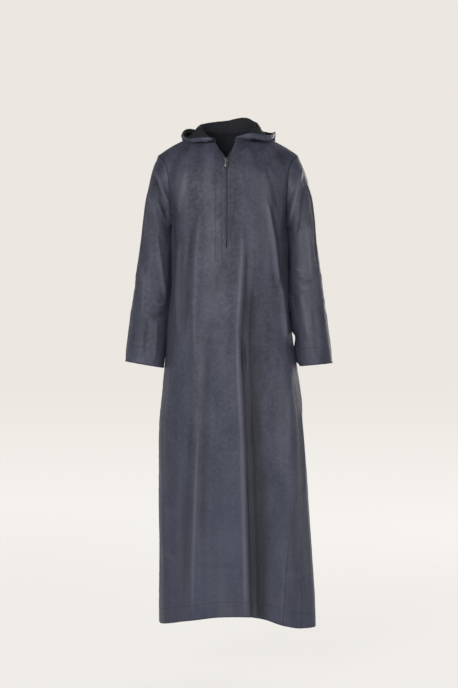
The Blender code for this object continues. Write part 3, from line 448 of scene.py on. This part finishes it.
walls = {node: wall_tree(node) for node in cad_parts}
BODY_CREASES = (
    ("front", 0.015, 0.0046, (0.0354, -0.215), (0.0354, -0.284), (0.0284, -0.391), (0.0218, -0.486)),
    ("front", 0.014, 0.0054, (0.0218, -0.440), (0.0243, -0.556), (0.0279, -0.617), (0.0335, -0.752)),
    ("front", 0.016, 0.0052, (0.0325, -0.680), (0.0373, -0.864), (0.041, -1.012), (0.0429, -1.185)),
    ("front", 0.014, -0.0050, (0.050, -0.25), (0.044, -0.39), (0.036, -0.50), (0.039, -0.60)),
    ("front", 0.014, -0.0062, (0.036, -0.47), (0.041, -0.60), (0.048, -0.75), (0.052, -0.90)),
    ("front", 0.014, -0.0062, (0.048, -0.80), (0.055, -0.94), (0.058, -1.08), (0.060, -1.22)),
    ("front", 0.036, -0.0066, (0.064, -0.33), (0.058, -0.48), (0.062, -0.64), (0.068, -0.78)),
    ("front", 0.042, -0.0080, (0.066, -0.62), (0.072, -0.84), (0.080, -1.04), (0.084, -1.24)),
    ("front", 0.012, 0.0064, (0.0907, -0.141), (0.110, -0.248), (0.1174, -0.318), (0.128, -0.372)),
    ("front", 0.012, 0.0054, (0.126, -0.345), (0.138, -0.444), (0.144, -0.508)),
    ("front", 0.014, -0.0040, (0.106, -0.15), (0.124, -0.25), (0.136, -0.36)),
    ("front", 0.016, 0.0030, (0.150, -0.59), (0.150, -0.70), (0.149, -0.80)),
    ("front", 0.010, 0.0048, (-0.0703, -0.68), (-0.0776, -0.864), (-0.0834, -1.012), (-0.0873, -1.185)),
    ("front", 0.020, -0.0022, (-0.090, -0.64), (-0.098, -0.80), (-0.104, -0.96), (-0.108, -1.16)),
    ("front", 0.022, -0.0036, (-0.042, -0.40), (-0.052, -0.58), (-0.058, -0.76), (-0.064, -1.02)),
    ("front", 0.010, 0.0014, (0.0325, -0.225), (0.0325, -0.290), (0.0255, -0.400), (0.0195, -0.500)),
    ("front", 0.010, 0.0012, (0.0205, -0.470), (0.0225, -0.600), (0.0290, -0.740), (0.0330, -0.880)),
    ("front", 0.010, 0.0010, (0.0320, -0.840), (0.0365, -1.000), (0.0390, -1.100), (0.0400, -1.200)),
    ("front", 0.013, 0.0028, (-0.062, -0.14), (-0.078, -0.28), (-0.084, -0.42), (-0.080, -0.56)),
    ("front", 0.014, -0.0028, (-0.086, -0.20), (-0.104, -0.34), (-0.108, -0.50)),
    ("front", 0.012, 0.0026, (-0.118, -0.24), (-0.126, -0.36), (-0.122, -0.50)),
    ("front", 0.009, 0.0016, (0.050, -0.500), (0.084, -0.503), (0.118, -0.505)),
    ("front", 0.008, -0.0009, (-0.100, -0.5025), (-0.030, -0.5020), (0.040, -0.5035)),
    ("front", 0.010, 0.0015, (0.108, -0.505), (0.124, -0.528), (0.138, -0.556)),
    ("front", 0.008, -0.0008, (-0.060, -0.760), (-0.010, -0.762), (0.046, -0.759)),
    ("front", 0.008, 0.0006, (-0.050, -0.769), (0.000, -0.771), (0.042, -0.768)),
    ("front", 0.008, -0.0012, (-0.082, -1.040), (-0.020, -1.043), (0.040, -1.040)),
    ("front", 0.009, 0.0006, (-0.066, -1.052), (-0.020, -1.054), (0.030, -1.052)),
    ("front", 0.010, 0.0020, (0.140, -1.062), (0.170, -1.068), (0.206, -1.064)),
    ("front", 0.008, 0.0018, (-0.160, -0.905), (-0.146, -0.914), (-0.122, -0.920)),
    ("front", 0.009, 0.0018, (-0.160, -1.010), (-0.144, -1.024), (-0.120, -1.034)),
    ("front", 0.009, 0.0022, (0.116, -0.775), (0.138, -0.789), (0.166, -0.800)),
    ("front", 0.008, 0.0018, (0.120, -0.800), (0.144, -0.812), (0.164, -0.818)),
    ("front", 0.009, 0.0020, (0.050, -0.020), (0.040, -0.032), (0.030, -0.044)),
    ("front", 0.012, -0.0024, (0.088, -0.06), (0.108, -0.12), (0.124, -0.18)),
    ("front", 0.012, 0.0022, (-0.100, -0.06), (-0.112, -0.13), (-0.124, -0.19)),
    ("left", 0.032, 0.0034, (-0.014, -0.18), (-0.014, -0.38), (-0.016, -0.68)),
    ("left", 0.030, 0.0030, (-0.010, -0.17), (-0.012, -0.25), (-0.014, -0.35)),
    ("right", 0.030, 0.0030, (-0.010, -0.18), (-0.012, -0.30), (-0.014, -0.44)),
    ("right", 0.030, 0.0030, (-0.010, -0.17), (-0.012, -0.23), (-0.014, -0.31)),
    ("right", 0.030, 0.0040, (-0.014, -0.42), (-0.016, -0.54), (-0.018, -0.70)),
    ("back", 0.024, 0.0040, (0.060, -0.24), (0.066, -0.50), (0.072, -0.80), (0.076, -1.16)),
    ("back", 0.022, -0.0034, (0.020, -0.30), (0.026, -0.58), (0.030, -0.90), (0.034, -1.16)),
    ("back", 0.020, 0.0040, (-0.026, -0.26), (-0.030, -0.55), (-0.034, -0.85), (-0.036, -1.17)),
    ("back", 0.024, -0.0032, (-0.078, -0.34), (-0.084, -0.62), (-0.090, -0.90), (-0.094, -1.15)),
    ("back", 0.016, 0.0030, (-0.122, -0.22), (-0.120, -0.42), (-0.128, -0.64), (-0.134, -0.90)),
    ("back", 0.016, 0.0030, (0.122, -0.20), (0.124, -0.40), (0.134, -0.60), (0.146, -0.86)),
    ("back", 0.010, 0.0014, (-0.070, -0.507), (-0.020, -0.510), (0.040, -0.506)),
    ("back", 0.010, 0.0014, (-0.040, -0.765), (0.020, -0.769), (0.080, -0.766)),
    ("back", 0.010, -0.0014, (-0.080, -1.040), (-0.010, -1.044), (0.060, -1.040)),
    ("left", 0.014, 0.0026, (-0.050, -0.60), (-0.056, -0.84), (-0.060, -1.08)),
    ("left", 0.016, -0.0026, (0.020, -0.48), (0.022, -0.76), (0.026, -1.10)),
    ("left", 0.014, 0.0026, (0.074, -0.52), (0.080, -0.80), (0.084, -1.12)),
    ("right", 0.014, 0.0026, (-0.040, -0.62), (-0.046, -0.86), (-0.050, -1.10)),
    ("right", 0.016, -0.0026, (0.030, -0.50), (0.034, -0.78), (0.038, -1.10)),
    ("right", 0.014, 0.0026, (0.082, -0.54), (0.086, -0.82), (0.090, -1.12)),
)

reverse_with_painted_shade = dull_reverse_painted_shade()
body_cloth = slate_satin("slate_satin")
front_cloth = slate_satin("slate_satin_with_placket", PLACKET_LINES)
body = [
    sew_panel("front_panel", BODY_CREASES, front_cloth),
    sew_panel("back_panel", BODY_CREASES, body_cloth),
    sew_panel("front_gore_left", BODY_CREASES, body_cloth),
    sew_panel("front_gore_right", BODY_CREASES, body_cloth),
    sew_panel("back_gore_left", BODY_CREASES, body_cloth),
    sew_panel("back_gore_right", BODY_CREASES, body_cloth),
]


# ---------------------------------------------------------------------------------------------
# Sleeves. Long straight tubes of the same satin with one seam under the arm, set flat into the
# armholes and finished with a turned cuff. They hang by the sides and crease at the elbows.
# ---------------------------------------------------------------------------------------------

CUFF_DEPTH = 0.044
LEFT_SLEEVE_CREASES = (
    ("right", 0.034, 0.0046, (-0.008, -0.13), (-0.014, -0.34), (-0.018, -0.58)),
    ("right", 0.032, 0.0040, (-0.004, -0.06), (-0.008, -0.14), (-0.012, -0.30)),
    ("front", 0.011, 0.0036, (-0.180, -0.070), (-0.160, -0.130), (-0.140, -0.176)),
    ("front", 0.012, -0.0050, (-0.182, -0.085), (-0.166, -0.148), (-0.144, -0.204)),
    ("front", 0.011, 0.0026, (-0.192, -0.13), (-0.182, -0.18), (-0.166, -0.24)),
    ("front", 0.011, 0.0032, (-0.178, -0.215), (-0.166, -0.31), (-0.153, -0.405)),
    ("front", 0.010, 0.0026, (-0.184, -0.400), (-0.168, -0.409), (-0.152, -0.402)),
    ("front", 0.011, -0.0026, (-0.196, -0.425), (-0.176, -0.436), (-0.152, -0.428)),
    ("front", 0.012, 0.0028, (-0.214, -0.30), (-0.208, -0.36), (-0.212, -0.45)),
    ("front", 0.012, -0.0026, (-0.198, -0.44), (-0.200, -0.49), (-0.206, -0.54)),
    ("front", 0.011, 0.0022, (-0.176, -0.44), (-0.178, -0.50), (-0.180, -0.55)),
    ("left", 0.013, 0.0030, (-0.030, -0.10), (-0.022, -0.20), (-0.030, -0.30)),
    ("left", 0.013, -0.0030, (0.004, -0.12), (0.010, -0.24), (0.004, -0.36)),
    ("left", 0.013, 0.0010, (-0.034, -0.325), (-0.008, -0.335), (0.024, -0.318)),
    ("left", 0.014, -0.0012, (-0.030, -0.355), (-0.006, -0.366), (0.022, -0.350)),
    ("left", 0.013, 0.0009, (-0.034, -0.395), (-0.010, -0.404), (0.018, -0.386)),
    ("left", 0.012, 0.0026, (-0.014, -0.40), (-0.018, -0.48), (-0.014, -0.555)),
    ("back", 0.013, 0.0030, (-0.176, -0.10), (-0.164, -0.19), (-0.172, -0.28)),
    ("back", 0.012, -0.0028, (-0.206, -0.20), (-0.200, -0.28), (-0.206, -0.35)),
    ("back", 0.010, 0.0020, (-0.200, -0.36), (-0.186, -0.372), (-0.168, -0.362)),
    ("back", 0.012, 0.0026, (-0.196, -0.40), (-0.202, -0.47), (-0.206, -0.55)),
    ("right", 0.012, 0.0024, (-0.010, -0.30), (-0.016, -0.40), (-0.020, -0.52)),
)
RIGHT_SLEEVE_CREASES = (
    ("left", 0.032, 0.0040, (-0.006, -0.13), (-0.010, -0.27), (-0.012, -0.43)),
    ("left", 0.032, 0.0040, (-0.004, -0.06), (-0.008, -0.14), (-0.012, -0.28)),
    ("left", 0.030, 0.0036, (-0.010, -0.33), (-0.012, -0.38), (-0.014, -0.43)),
    ("left", 0.034, 0.0088, (-0.014, -0.480), (-0.018, -0.55), (-0.020, -0.66)),
    ("left", 0.030, 0.0095, (-0.012, -0.37), (-0.014, -0.43), (-0.016, -0.489)),
    ("front", 0.011, 0.0050, (0.184, -0.068), (0.168, -0.135), (0.150, -0.212)),
    ("front", 0.012, -0.0040, (0.190, -0.105), (0.182, -0.165), (0.166, -0.24)),
    ("front", 0.010, 0.0026, (0.162, -0.318), (0.180, -0.326), (0.198, -0.322)),
    ("front", 0.010, -0.0028, (0.164, -0.340), (0.186, -0.350), (0.212, -0.346)),
    ("front", 0.010, 0.0024, (0.170, -0.362), (0.188, -0.370), (0.204, -0.362)),
    ("front", 0.014, 0.0042, (0.193, -0.20), (0.200, -0.27), (0.205, -0.34)),
    ("front", 0.010, -0.0024, (0.216, -0.20), (0.219, -0.27), (0.222, -0.33)),
    ("front", 0.018, 0.0042, (0.178, -0.38), (0.190, -0.43), (0.198, -0.50)),
    ("front", 0.012, -0.0026, (0.208, -0.41), (0.214, -0.47), (0.218, -0.54)),
    ("right", 0.013, 0.0030, (-0.026, -0.10), (-0.020, -0.20), (-0.028, -0.31)),
    ("right", 0.013, -0.0030, (0.006, -0.12), (0.008, -0.22), (0.002, -0.33)),
    ("right", 0.013, 0.0010, (-0.032, -0.330), (-0.008, -0.340), (0.022, -0.328)),
    ("right", 0.013, 0.0009, (-0.032, -0.392), (-0.010, -0.400), (0.016, -0.390)),
    ("right", 0.012, 0.0026, (-0.012, -0.41), (-0.016, -0.48), (-0.012, -0.555)),
    ("back", 0.013, 0.0030, (0.176, -0.10), (0.168, -0.19), (0.176, -0.28)),
    ("back", 0.012, -0.0028, (0.206, -0.18), (0.200, -0.27), (0.208, -0.34)),
    ("back", 0.010, 0.0020, (0.172, -0.352), (0.190, -0.362), (0.206, -0.352)),
    ("back", 0.012, 0.0026, (0.200, -0.40), (0.208, -0.47), (0.212, -0.55)),
    ("left", 0.012, 0.0024, (-0.010, -0.30), (-0.016, -0.40), (-0.020, -0.52)),
)

sleeves = [
    sew_panel("sleeve_left", LEFT_SLEEVE_CREASES, body_cloth, CUFF_DEPTH),
    sew_panel("sleeve_right", RIGHT_SLEEVE_CREASES, body_cloth, CUFF_DEPTH),
]


# ---------------------------------------------------------------------------------------------
# Hood, worn down. Two halves of the satin with a seam over the crown, sewn into the neckline.
# Its rim is turned in and stitched, rolls over at the collar and falls in soft folds behind.
# ---------------------------------------------------------------------------------------------

RIM_DEPTH = 0.013
HOOD_CREASES = (
    ("back", 0.012, 0.0030, (-0.060, 0.020), (-0.050, -0.030), (-0.030, -0.080)),
    ("back", 0.012, -0.0028, (-0.036, 0.030), (-0.030, -0.020), (-0.018, -0.070)),
    ("back", 0.012, 0.0030, (0.058, 0.024), (0.048, -0.026), (0.026, -0.078)),
    ("back", 0.012, -0.0028, (0.032, 0.034), (0.028, -0.018), (0.016, -0.066)),
    ("back", 0.010, 0.0026, (-0.030, -0.100), (-0.004, -0.112), (0.026, -0.098)),
    ("left", 0.011, 0.0026, (-0.020, 0.020), (0.020, 0.006), (0.064, 0.010)),
    ("left", 0.011, -0.0026, (0.000, -0.006), (0.040, -0.016), (0.080, -0.020)),
    ("right", 0.011, 0.0026, (-0.020, 0.024), (0.024, 0.008), (0.068, 0.008)),
    ("right", 0.011, -0.0026, (0.004, -0.006), (0.044, -0.018), (0.084, -0.024)),
)

hood = [
    sew_panel("hood_left", HOOD_CREASES, body_cloth, RIM_DEPTH),
    sew_panel("hood_right", HOOD_CREASES, body_cloth, RIM_DEPTH),
]


# ---------------------------------------------------------------------------------------------
# Zip tapes. Dark woven polyester tapes behind the edges of the slit, each with a moulded chain
# along its inner edge. The chain is closed below the slider and parts at the V above it.
# ---------------------------------------------------------------------------------------------

TOOTH_PITCH = 0.0021
TOOTH = (0.0017, 0.0011, 0.0018)


def zip_weave():
    """Woven polyester tape: a firm, dull herringbone. Ribs are 0.5 mm apart, drawn at 2 mm."""
    material, tree, shader = new_material("zip_tape_weave")
    place = add(tree, "TexCoord").outputs["Object"]
    waved = {"Vector": place, "Scale": 160.0, "Distortion": 0.6}
    ribs = add(tree, "TexWave", waved, bands_direction="Z").outputs["Fac"]
    fuzz = add(tree, "TexNoise", {"Vector": place, "Scale": 900.0})
    dyed = add(tree, "Mix", {0: fuzz, 6: color("1d1f25"), 7: color("2d3038")}, data_type="RGBA")
    tree.links.new(dyed.outputs[2], shader.inputs["Base Color"])
    rough = add(tree, "MapRange", {"Value": fuzz, "To Min": 0.62, "To Max": 0.82})
    tree.links.new(rough.outputs[0], shader.inputs["Roughness"])
    height = add(tree, "Math", {0: fuzz, 1: 0.3, 2: ribs}, operation="MULTIPLY_ADD")
    bump = add(tree, "Bump", {"Height": height, "Strength": 0.5, "Distance": 0.0004})
    tree.links.new(bump.outputs[0], shader.inputs["Normal"])
    return material


def moulded_chain():
    """Moulded acetal teeth: hard, slightly glossy and nearly black."""
    material, tree, shader = new_material("moulded_acetal")
    place = add(tree, "TexCoord").outputs["Object"]
    flow = add(tree, "TexNoise", {"Vector": place, "Scale": 700.0})
    rough = add(tree, "MapRange", {"Value": flow, "To Min": 0.28, "To Max": 0.44})
    tree.links.new(rough.outputs[0], shader.inputs["Roughness"])
    dyed = add(tree, "Mix", {0: flow, 6: color("202127"), 7: color("2c2e36")}, data_type="RGBA")
    tree.links.new(dyed.outputs[2], shader.inputs["Base Color"])
    shader.inputs["IOR"].default_value = 1.48
    return material


def paced(path, pitch):
    """Points along a path at an even pitch, each with its direction."""
    spots = []
    left = pitch / 2
    for first, second in zip(path[:-1], path[1:]):
        run = (second - first).length
        while left < run:
            spots.append((first.lerp(second, left / run), (second - first).normalized()))
            left += pitch
        left -= run
    return spots


def stand(spot, along, out):
    """Placing matrix with X along a path and Z out of the cloth."""
    out = (out - along * out.dot(along)).normalized()
    across = out.cross(along)
    return Matrix.Translation(spot) @ Matrix((along, across, out)).transposed().to_4x4()


tape_weave = zip_weave()
chain_acetal = moulded_chain()
for node, inner in (("zip_tape_left", 1), ("zip_tape_right", -1)):
    tape = bmesh.new()
    tape.from_mesh(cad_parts[node].data)
    bmesh.ops.remove_doubles(tape, verts=tape.verts, dist=2e-5)
    rows = {}
    for v in tape.verts:
        rows.setdefault(round(v.co.z, 4), []).append(v.co.copy())
    edge = [max(row, key=lambda co: co.x * inner) for height, row in sorted(rows.items())]
    mesh = bpy.data.meshes.new(node + "_weave")
    tape.to_mesh(mesh)
    tape.free()
    mesh.shade_smooth()
    mesh.set_sharp_from_angle(angle=math.radians(40))
    mesh.materials.clear()
    mesh.materials.append(tape_weave)
    piece = bpy.data.objects.new(node + "_weave", mesh)
    bpy.context.scene.collection.objects.link(piece)
    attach(piece, "robe")
    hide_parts(node)

    chain = bmesh.new()
    for spot, along in paced(edge, TOOTH_PITCH):
        place = stand(spot - Vector((inner * TOOTH[0] / 2, 0, 0)), along, Vector((0, -1, 0)))
        size = Matrix.Diagonal((TOOTH[1], TOOTH[0], TOOTH[2], 1))
        bmesh.ops.create_cube(chain, size=1, matrix=place @ size)
    mesh = bpy.data.meshes.new(node + "_chain")
    chain.to_mesh(mesh)
    chain.free()
    mesh.materials.append(chain_acetal)
    teeth = bpy.data.objects.new(node + "_chain", mesh)
    bpy.context.scene.collection.objects.link(teeth)
    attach(teeth, "robe")


# ---------------------------------------------------------------------------------------------
# Zip slider. Die-cast zinc, barrelled and nickel plated: two plates on a post round the chain,
# with a bridge over the front plate that holds the pull tab.
# ---------------------------------------------------------------------------------------------

METAL_EDGE = 0.00022


def polished_nickel():
    """Dark nickel plate: a smoky mirror, softened by barrelling and fine wear."""
    material, tree, shader = new_material("nickel_plate")
    place = add(tree, "TexCoord").outputs["Object"]
    wear = add(tree, "TexNoise", {"Vector": place, "Scale": 500.0, "Detail": 4.0})
    rough = add(tree, "MapRange", {"Value": wear, "To Min": 0.14, "To Max": 0.34})
    tree.links.new(rough.outputs[0], shader.inputs["Roughness"])
    plated = add(tree, "Mix", {0: wear, 6: color("85858a"), 7: color("a3a3a7")}, data_type="RGBA")
    tree.links.new(plated.outputs[2], shader.inputs["Base Color"])
    shader.inputs["Metallic"].default_value = 1.0
    bump = add(tree, "Bump", {"Height": wear, "Strength": 0.15, "Distance": 0.0001})
    tree.links.new(bump.outputs[0], shader.inputs["Normal"])
    return material


def cast_piece(node, name, body, material):
    """A metal piece on its solid's form, with its edges rounded by barrelling."""
    cast = bmesh.new()
    cast.from_mesh(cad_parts[node].data)
    bmesh.ops.remove_doubles(cast, verts=cast.verts, dist=1e-5)
    bmesh.ops.dissolve_limit(
        cast, angle_limit=math.radians(1), use_dissolve_boundaries=False, verts=cast.verts,
        edges=cast.edges, delimit=set(),
    )
    mesh = bpy.data.meshes.new(name)
    cast.to_mesh(mesh)
    cast.free()
    mesh.materials.clear()
    mesh.materials.append(material)
    mesh.shade_smooth()
    piece = bpy.data.objects.new(name, mesh)
    bpy.context.scene.collection.objects.link(piece)
    rounding = piece.modifiers.new("rounding", "BEVEL")
    rounding.width = METAL_EDGE
    rounding.segments = 2
    rounding.limit_method = "ANGLE"
    rounding.angle_limit = math.radians(35)
    rounding.harden_normals = True
    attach(piece, body)
    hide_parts(node)
    return piece


nickel = polished_nickel()
cast_piece("zip_slider", "slider_casting", "robe", nickel)


# ---------------------------------------------------------------------------------------------
# Zip pull tab. The same plated zinc casting: a flat tongue whose eye goes round the slider's
# bridge with play, so that the tab hangs down over the chain or swings up.
# ---------------------------------------------------------------------------------------------

cast_piece("zip_pull_tab", "pull_tab_casting", "pull_tab", nickel)


# ---------------------------------------------------------------------------------------------
# Stitching. Lockstitch in slate polyester thread: the hem, the cuffs and the rim of the hood
# are each held by one row, and the placket by rows on both sides of the zip and a bar below it.
# ---------------------------------------------------------------------------------------------

STITCH = 0.0027
STITCH_GAP = 0.0008
THREAD = 0.00042
# A row's path has a point every step, and a shorter row than this isn't sewn
ROW_STEP = 0.002
SHORTEST_ROW = 0.02
# The placket's rows go down from its top in steps, and the bar goes across in the same steps
PLACKET_TOP = -0.066
PLACKET_STEP = 0.003
PLACKET_STEPS = 81
BAR_STEPS = 13
IN_FRONT = -0.4


def spun_thread():
    """Spun polyester sewing thread: matt, a shade lighter than the cloth."""
    material, tree, shader = new_material("polyester_thread")
    place = add(tree, "TexCoord").outputs["Object"]
    twist = add(tree, "TexNoise", {"Vector": place, "Scale": 1500.0})
    dyed = add(tree, "Mix", {0: twist, 6: color("3c3e49"), 7: color("50535f")}, data_type="RGBA")
    tree.links.new(dyed.outputs[2], shader.inputs["Base Color"])
    rough = add(tree, "MapRange", {"Value": twist, "To Min": 0.5, "To Max": 0.7})
    tree.links.new(rough.outputs[0], shader.inputs["Roughness"])
    return material


def face_of(pieces):
    """The finished outer faces of some pieces, for laying stitches on."""
    graph = bpy.context.evaluated_depsgraph_get()
    shape = bmesh.new()
    for piece in pieces:
        shape.from_object(piece, graph)
    tree = BVHTree.FromBMesh(shape)
    shape.free()
    return tree


def stitch_rows(piece):
    """Rows where a piece's turned edge is stitched down, as paths of points on its outer face."""
    shape = bmesh.new()
    shape.from_mesh(piece.data)
    shape.edges.index_update()
    way = shape.verts.layers.float["stitch_way"]
    spots = {}
    for edge in shape.edges:
        first, second = edge.verts
        if (first[way] < 0) != (second[way] < 0):
            share = first[way] / (first[way] - second[way])
            spots[edge.index] = first.co.lerp(second.co, share)
    links = {}
    for face in shape.faces:
        crossed = [edge.index for edge in face.edges if edge.index in spots]
        if len(crossed) == 2:
            links.setdefault(crossed[0], []).append(crossed[1])
            links.setdefault(crossed[1], []).append(crossed[0])
    shape.free()
    paths = []
    while links:
        place = min(links, key=lambda key: (len(links[key]), key))
        path = [spots[place]]
        while links.get(place):
            after = links[place].pop()
            links[after].remove(place)
            place = after
            if (spots[place] - path[-1]).length > ROW_STEP:
                path.append(spots[place])
        links = {key: others for key, others in links.items() if others}
        paths.append(path)
    return paths


def lay_stitches(shape, path, face):
    """A row of stitches along a path, half sunk in the cloth."""
    row = bmesh.new()
    for spot, along in paced(path, STITCH + STITCH_GAP):
        at, out, *_ = face.find_nearest(spot)
        size = Matrix.Diagonal((STITCH / 2, THREAD, THREAD, 1))
        placed = stand(at, along, out) @ size
        bmesh.ops.create_icosphere(row, subdivisions=2, radius=1, matrix=placed)
    mesh = bpy.data.meshes.new("row")
    row.to_mesh(mesh)
    row.free()
    shape.from_mesh(mesh)
    bpy.data.meshes.remove(mesh)


thread = spun_thread()
seams = bmesh.new()
for group in (body, sleeves, hood):
    face = face_of(group)
    for piece in group:
        for path in stitch_rows(piece):
            if len(path) * ROW_STEP > SHORTEST_ROW:
                lay_stitches(seams, path, face)
# The placket's rows and the bar below the zip are pressed onto the cloth from in front
face = face_of(body)
placket = [
    [Vector((line, IN_FRONT, PLACKET_TOP - step * PLACKET_STEP)) for step in range(PLACKET_STEPS)]
    for line in PLACKET_LINES
]
start = PLACKET_LINES[1]
placket.append([
    Vector((start + step * PLACKET_STEP, IN_FRONT, ZIP_END)) for step in range(BAR_STEPS)
])
for row in placket:
    hits = [face.ray_cast(point, Vector((0, 1, 0)))[0] for point in row]
    lay_stitches(seams, [hit for hit in hits if hit], face)
mesh = bpy.data.meshes.new("stitching")
seams.to_mesh(mesh)
seams.free()
mesh.shade_smooth()
mesh.materials.append(thread)
stitching = bpy.data.objects.new("stitching", mesh)
bpy.context.scene.collection.objects.link(stitching)
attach(stitching, "robe")


# ---------------------------------------------------------------------------------------------
# Studio. A wide pale floor that fades into an even pale backdrop, a large soft light high on
# the left, a weak one on the right and one behind. The camera is level with the robe's middle.
# ---------------------------------------------------------------------------------------------

FLOOR_HEIGHT = -1.325

ground = bmesh.new()
below_hem = Matrix.Translation((0, 0, FLOOR_HEIGHT))
bmesh.ops.create_circle(ground, cap_ends=True, segments=96, radius=20, matrix=below_hem)
mesh = bpy.data.meshes.new("floor")
ground.to_mesh(mesh)
ground.free()
paper, tree, shader = new_material("studio_paper")
place = add(tree, "TexCoord").outputs["Object"]
fleck = add(tree, "TexNoise", {"Vector": place, "Scale": 3.0})
toned = add(tree, "Mix", {0: fleck, 6: color("efebe6"), 7: color("f2eeea")}, data_type="RGBA")
tree.links.new(toned.outputs[2], shader.inputs["Base Color"])
shader.inputs["Roughness"].default_value = 0.9
reach = add(tree, "VectorMath", {0: place}, operation="LENGTH").outputs["Value"]
limits = {"Value": reach, "From Min": 1.4, "From Max": 5.0, "To Min": 0.14, "To Max": 0.0}
fade = add(tree, "MapRange", limits, interpolation_type="SMOOTHSTEP")
tree.links.new(fade.outputs[0], shader.inputs["Alpha"])
mesh.materials.append(paper)
floor = bpy.data.objects.new("floor", mesh)
bpy.context.scene.collection.objects.link(floor)

world = bpy.data.worlds.new("studio")
world.use_nodes = True
tree = world.node_tree
glow = tree.nodes["Background"]
way = add(tree, "TexCoord").outputs["Generated"]
height = add(tree, "SeparateXYZ", {"Vector": way}).outputs["Z"]
# The backdrop gives less light from overhead and from underfoot, and is paler low down
above, below, low = (
    add(tree, "MapRange", {
        "Value": height, "From Min": first, "From Max": second, "To Min": start, "To Max": end,
    }, interpolation_type="SMOOTHSTEP")
    for first, second, start, end in (
        (0.23, 0.42, 1.0, 0.16), (-0.24, -0.42, 1.0, 0.65), (-0.02, -0.11, 0.0, 1.0),
    )
)
strength = add(tree, "Math", {0: above, 1: below}, operation="MULTIPLY")
tree.links.new(strength.outputs[0], glow.inputs["Strength"])
tinted = add(tree, "Mix", {0: low, 6: color("ece7e1"), 7: color("f5f2ee")}, data_type="RGBA")
tree.links.new(tinted.outputs[2], glow.inputs["Color"])
bpy.context.scene.world = world
bpy.context.scene.view_settings.view_transform = "Standard"

for name, place, size, power in (
    ("key", (-1.8, -4.1, 1.0), 1.9, 139.0),
    ("fill", (2.4, -3.4, -0.5), 1.6, 47.0),
    ("rear", (2.0, 4.4, 0.8), 2.4, 150.0),
):
    light = bpy.data.lights.new(name, "AREA")
    light.shape = "DISK"
    light.size = size
    light.energy = power
    lamp = bpy.data.objects.new(name, light)
    lamp.location = place
    toward = Vector((0, 0, -0.6)) - Vector(place)
    lamp.rotation_euler = toward.to_track_quat("-Z", "Y").to_euler()
    bpy.context.scene.collection.objects.link(lamp)

lens = bpy.data.cameras.new("camera")
lens.lens = 84
lens.sensor_width = 36
camera = bpy.data.objects.new("camera", lens)
camera.location = (0.0025, -4.0, -0.505)
camera.rotation_euler = (math.radians(90), 0, 0)
bpy.context.scene.collection.objects.link(camera)
bpy.context.scene.camera = camera

bpy.context.view_layer.update()
